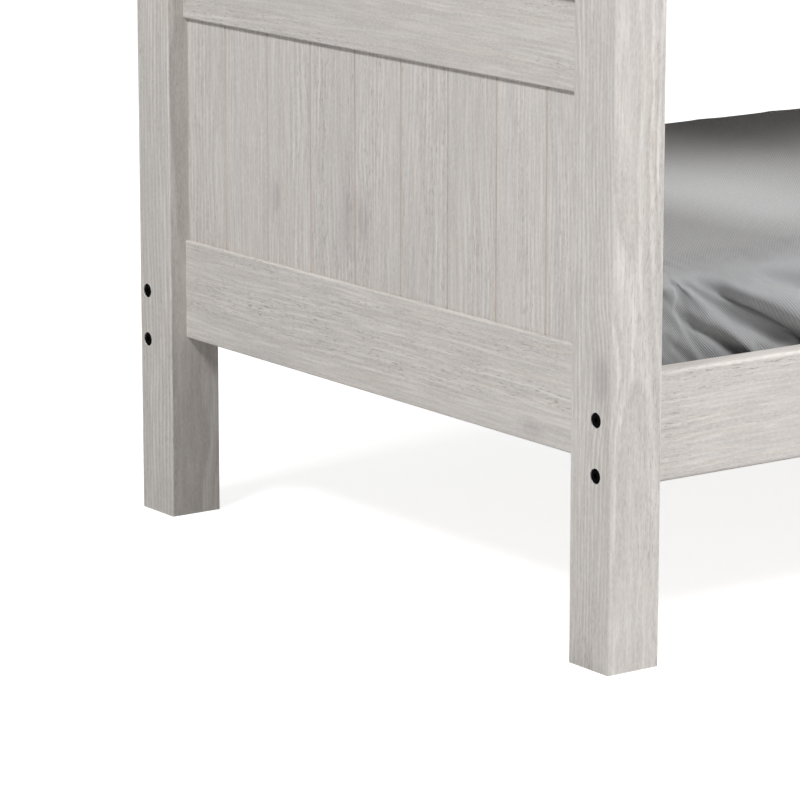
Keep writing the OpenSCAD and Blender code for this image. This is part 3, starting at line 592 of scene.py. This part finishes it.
# %% Make the lower sheet
BAND = 33
sheet_low, sheet_high = (Vector(v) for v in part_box("lower_fitted_sheet"))
columns = spaced(164, sheet_low.x, sheet_high.x, sheet_low.x + 0.42, 0.50)
half = spaced(26, sheet_low.y, (sheet_low.y + sheet_high.y) / 2, sheet_low.y + 0.12, 0.31)
rows = half + [sheet_low.y + sheet_high.y - y for y in reversed(half[:-1])]
CORNER, EDGE, PUFF, TUCK, DEEPEST = 0.046, 0.017, 0.010, 0.012, 0.0145
height = sheet_high.z - sheet_low.z
mesh = sheet_grid("lower_sheet", sheet_low, sheet_high, columns, rows, BAND, height + 0.25 * EDGE)
lay_flat(mesh, sheet_low, sheet_high)
lengths = {"front": sheet_high.x - sheet_low.x, "rear": sheet_high.x - sheet_low.x,
           "left": sheet_high.y - sheet_low.y, "right": sheet_high.y - sheet_low.y}
FOLD_END = 0.17
folds = {side: more_folds(lengths[side], FOLD_END, 0.22 if side == "front" else 0.05, k)
         for k, side in enumerate(("front", "rear", "left", "right"))}
folds["front"] = FOLDS + folds["front"]
pinned, hem = [], {}
ribbing = mesh.attributes.new("ribbing", "FLOAT", "POINT")
for v in mesh.vertices:
    side, along = side_of(v.co, sheet_low, sheet_high)
    down = sheet_high.z - v.co.z
    place, out = round_box(v.co, sheet_low, sheet_high, CORNER, EDGE)
    if down > 1e-6:
        fade = end_fade(along, lengths[side]) * min(1.0, down / 0.02)
        fade *= min(1.0, max(0.0, (height - down) / 0.03))
        bulge, lean_along, lean_down = (value * fade for value in slack(along, down, folds[side]))
        tuck = TUCK * min(1.0, down / 0.11) * fade
        place += out * max(bulge - tuck, -DEEPEST) + WAY[side] * lean_along
        place.z -= lean_down
    elif out.length == 0:
        pinned.append(v.index)
    inside = min(v.co.x - sheet_low.x, sheet_high.x - v.co.x, v.co.y - sheet_low.y, sheet_high.y - v.co.y)
    ribbing.data[v.index].value = min(1.0, max(0.0, (max(inside, down) - 0.008) / 0.03))
    if down < 1e-6:
        place.z += PUFF * (1 - (1 - min(1.0, inside / 0.09)) ** 2)
    if down > height + 0.1 * EDGE:
        hem[v.index] = (side, along)
    v.co = place
sheet = bpy.data.objects.new("lower_sheet", mesh)
bpy.context.scene.collection.objects.link(sheet)
mesh.shade_smooth()
print("sheet vertices:", len(mesh.vertices), "folds on the front:", len(folds["front"]))

# %% [markdown]
# The simulation keeps the flat top where it is and drags the hem towards the right of each
# side, as if the sheet had been pulled on from the left. The mattress stops the cloth from
# inside and plain blocks stand for the rails outside. A little pressure keeps slack out.

# %% Drag the hem and let the cloth settle
PULL, FURTHEST = 0.028, 0.030


def settle(cloth):
    group = cloth.vertex_groups.new(name="held")
    group.add(pinned + list(hem), 1.0, "REPLACE")
    cloth.shape_key_add(name="Basis")
    pulled = cloth.shape_key_add(name="pulled")
    for index, (side, along) in hem.items():
        share = min(1.0, along / 0.12) * min(1.0, (lengths[side] - along) / 0.2)
        pulled.data[index].co += WAY[side] * PULL * share
    pulled.value = 0.0
    pulled.keyframe_insert("value", frame=1)
    pulled.value = 1.0
    pulled.keyframe_insert("value", frame=12)
    helpers = []
    for name in ("lower_front_rail", "lower_rear_rail"):
        a, b = (Vector(v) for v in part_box(name))
        helpers.append(soft_block("stop_" + name, a, b, 0.004, 0.003, 2))
    for solid, gap in [(pads["lower"], 0.0015)] + [(h, 0.002) for h in helpers]:
        bump = solid.modifiers.new("stop", "COLLISION")
        solid.collision.thickness_outer = gap
        solid.collision.cloth_friction = 8
    sim = cloth.modifiers.new("cloth", "CLOTH")
    rules = sim.settings
    rules.quality, rules.mass, rules.air_damping = 6, 0.3, 3.0
    rules.tension_stiffness, rules.compression_stiffness, rules.shear_stiffness = 18, 10, 6
    rules.bending_stiffness = 0.25
    rules.vertex_group_mass = "held"
    rules.effector_weights.gravity = 0.0
    rules.use_pressure, rules.uniform_pressure_force = True, 0.15
    sim.collision_settings.distance_min = 0.0015
    sim.collision_settings.collision_quality = 3
    sim.point_cache.frame_start, sim.point_cache.frame_end = 1, 20
    scene = bpy.context.scene
    for number in range(1, 21):
        scene.frame_set(number)
    shaped = cloth.evaluated_get(bpy.context.evaluated_depsgraph_get()).to_mesh()
    result = [v.co.copy() for v in shaped.vertices]
    cloth.modifiers.clear()
    cloth.shape_key_clear()
    scene.frame_set(1)
    for solid in [pads["lower"]] + helpers:
        solid.modifiers.clear()
    for helper in helpers:
        bpy.data.objects.remove(helper)
    moved = max((a - v.co).length for a, v in zip(result, cloth.data.vertices))
    for v, place in zip(cloth.data.vertices, result):
        v.co = v.co + (place - v.co).normalized() * min((place - v.co).length, FURTHEST)
    print("cloth settled, largest move before the cap: %.1f mm" % (moved * 1000))


settle(sheet)

# %% Keep the cloth clear of the mattress, the rails and the ends
SKIN = 0.0025  # the sheet's least height over the mattress
BESIDE_WOOD, OVER_RAIL = 0.0035, 0.021  # how far it may stand out beside and above a rail


def keep_clear(mesh, low, high, rail_top, over, pad):
    pushed = 0
    for v in mesh.vertices:
        p = v.co
        _, surface, normal, _ = pad.closest_point_on_mesh(p)
        if (p - surface).dot(normal) < SKIN and p.z > low.z + 0.002:
            v.co = p = surface + normal * SKIN
            pushed += 1
        for axis, face, sign in ((1, low.y, -1), (1, high.y, 1), (0, low.x, -1), (0, high.x, 1)):
            out = (p[axis] - face) * sign
            above = min(1.0, max(0.0, (p.z - rail_top - 0.003) / 0.012)) if axis == 1 else 0.0
            room = BESIDE_WOOD + (over - BESIDE_WOOD) * above
            if out > room:
                p[axis] = face + sign * room
        p.z = min(max(p.z, low.z + 0.0005), high.z + PUFF)
        v.co = p
    print(mesh.name, "points lifted off the mattress:", pushed)


rail_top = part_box("lower_front_rail")[1][2]
keep_clear(sheet.data, sheet_low, sheet_high, rail_top, OVER_RAIL, pads["lower"])

# %% The upper sheet is the same cloth turned end for end, with a shallower band
upper_low, upper_high = (Vector(v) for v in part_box("upper_fitted_sheet"))
upper = sheet.copy()
upper.data = sheet.data.copy()
upper.name = upper.data.name = "upper_sheet"
bpy.context.scene.collection.objects.link(upper)
lower_mid, upper_mid = (sheet_low + sheet_high) / 2, (upper_low + upper_high) / 2
lower_size, upper_size = sheet_high - sheet_low, upper_high - upper_low
shrink = upper_size.z / lower_size.z
for v in upper.data.vertices:
    away = v.co - lower_mid
    v.co = upper_mid + Vector((-away.x, -away.y * upper_size.y / lower_size.y, away.z * shrink))
for corner in upper.data.uv_layers["cut_cloth"].data:
    if corner.uv[1] < -4:
        corner.uv = (corner.uv[0], -5.0 + (corner.uv[1] + 5.0) * shrink)
keep_clear(upper.data, upper_low, upper_high, upper_high.z, BESIDE_WOOD, pads["upper"])

# %% [markdown]
# Ribbed cotton: fine raised cords about 3 mm apart with a soft sheen along their crowns.
# The colour is darkened between the cords as painted shade in the hollows, and every cord varies a little
# in thickness. The cords are pulled flat over the mattress edge, so they fade there.

# %% Sheet cloth
mat, g = new_material("ribbed_grey_cotton")
uv = g.add("ShaderNodeUVMap", uv_map="cut_cloth")
xy = g.add("ShaderNodeSeparateXYZ", {0: uv}, out=None).outputs
slant = g.math("MULTIPLY", g.math("SUBTRACT", xy[0], xy[1]), 0.7071)
run = g.math("MULTIPLY", g.math("ADD", xy[0], xy[1]), 0.7071)
wander = g.noise(g.vec(g.math("MULTIPLY", slant, 30.0), g.math("MULTIPLY", run, 30.0), 0.0), detail=2)
slant = g.math("MULTIPLY_ADD", g.math("SUBTRACT", wander, 0.5), 0.0012, slant)
rib = g.ramp(g.math("SINE", g.math("MULTIPLY", slant, 2 * math.pi / 0.0032)), -0.9, 0.9)
full = g.add("ShaderNodeAttribute", out=2, attribute_name="ribbing")
rib = g.math("MULTIPLY_ADD", g.math("SUBTRACT", rib, 0.6), full, 0.6)
twist = g.math("SINE", g.math("MULTIPLY", g.math("MULTIPLY_ADD", rib, 0.0006, run), 2 * math.pi / 0.0021))
yarn = g.noise(g.vec(g.math("MULTIPLY", slant, 700.0), g.math("MULTIPLY", run, 45.0), 0.0), detail=2)
patch = g.noise(g.vec(g.math("MULTIPLY", xy[0], 5.0), g.math("MULTIPLY", xy[1], 5.0), 0.0), detail=3)
# Painted shade: the darker grey between the cords stands in for the shade in their hollows.
tint = g.mix(rib, colour(0.228, 0.231, 0.237), colour(0.306, 0.310, 0.318))
tint = g.mix(g.ramp(yarn, 0.35, 0.7, 0.0, 0.35), tint, colour(0.205, 0.208, 0.214))
tint = g.mix(g.ramp(patch, 0.4, 0.7, 0.0, 0.18), tint, colour(0.30, 0.304, 0.312))
relief = g.math("MULTIPLY_ADD", twist, 0.12, rib)
finish_material(g, tint, g.ramp(rib, 0.0, 1.0, 0.72, 0.50), g.bump(relief, 0.0004, 0.65), Sheen_Weight=0.5,
                Sheen_Roughness=0.6, Specular_IOR_Level=0.25)
for cloth, level in ((sheet, "lower"), (upper, "upper")):
    cloth.data.materials.append(mat)
    smooth = cloth.modifiers.new("smooth", "SUBSURF")
    smooth.levels = smooth.render_levels = 1
    low, high = (Vector(v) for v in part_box(level + "_fitted_sheet"))
    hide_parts(level + "_fitted_sheet")
    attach(cloth, level + "_bedding")

# %% [markdown]
# ## Studio
# A plain pale floor and soft white light. The main light is large, in front of the ladder
# side and high, a weaker one faces the left end, and little light comes from behind, so the
# bedding under the upper bunk falls into shade towards the rear.

# %% Floor
bpy.ops.mesh.primitive_plane_add(size=60.0, location=(0, 0, 0))
floor = bpy.context.object
floor.name = "studio_floor"
mat, g = new_material("studio_floor")
coords = g.add("ShaderNodeTexCoord", out=None).outputs["Object"]
soft = g.noise(coords, scale=1.4, detail=3)
seen = g.add("ShaderNodeLightPath", out=None).outputs["Is Camera Ray"]
tint = g.mix(soft, colour(0.50, 0.50, 0.50), colour(0.54, 0.54, 0.54))
finish_material(g, tint, g.ramp(soft, 0.3, 0.7, 0.85, 0.95),
                Emission_Color=(1, 1, 1, 1), Emission_Strength=g.ramp(seen, 0.0, 1.0, 0.0, 0.86),
                Specular_IOR_Level=0.1)
floor.data.materials.append(mat)

# %% World and lights
world = bpy.data.worlds.new("studio")
world.use_nodes = True
bpy.context.scene.world = world
g = Graph(world.node_tree)
world.node_tree.nodes.clear()
seen = g.add("ShaderNodeLightPath", out=None).outputs["Is Camera Ray"]
glow = g.add("ShaderNodeBackground", {"Color": (1, 1, 1, 1), "Strength": g.ramp(seen, 0.0, 1.0, 0.13, 1.0)})
g.add("ShaderNodeOutputWorld", {"Surface": glow}, out=None)


def softbox(name, place, aim, wide, tall, power, tint=(1, 1, 1)):
    light = bpy.data.lights.new(name, "AREA")
    light.shape, light.size, light.size_y, light.energy, light.color = "RECTANGLE", wide, tall, power, tint
    obj = bpy.data.objects.new(name, light)
    bpy.context.scene.collection.objects.link(obj)
    obj.location = place
    obj.rotation_euler = (Vector(aim) - Vector(place)).to_track_quat("-Z", "Y").to_euler()
    return obj


softbox("key_front", (2.2, -4.6, 5.2), (-0.5, 0.1, 0.5), 3.4, 1.2, 500)
softbox("fill_left", (-4.8, -0.75, 4.85), (-0.8, 0.1, 0.6), 2.0, 1.1, 272)
softbox("top_soft", (0.0, -1.0, 6.5), (0.0, 0.0, 0.8), 4.0, 3.0, 80)

# %% Camera at the standing viewer's place, left of the bed and in front of it
camera = bpy.data.objects.new("camera", bpy.data.cameras.new("camera"))
bpy.context.scene.collection.objects.link(camera)
camera.location = (-4.1368, -4.2891, 1.4474)
yaw, pitch = 0.9513, -0.2171
look = Vector((math.cos(pitch) * math.cos(yaw), math.cos(pitch) * math.sin(yaw), math.sin(pitch)))
camera.rotation_euler = look.to_track_quat("-Z", "Y").to_euler()
camera.data.lens, camera.data.sensor_width = 188.04, 36.0
camera.data.clip_start, camera.data.clip_end = 0.1, 200.0
bpy.context.scene.camera = camera
bpy.context.scene.view_settings.view_transform = "Standard"
bpy.context.scene.view_settings.look = "None"
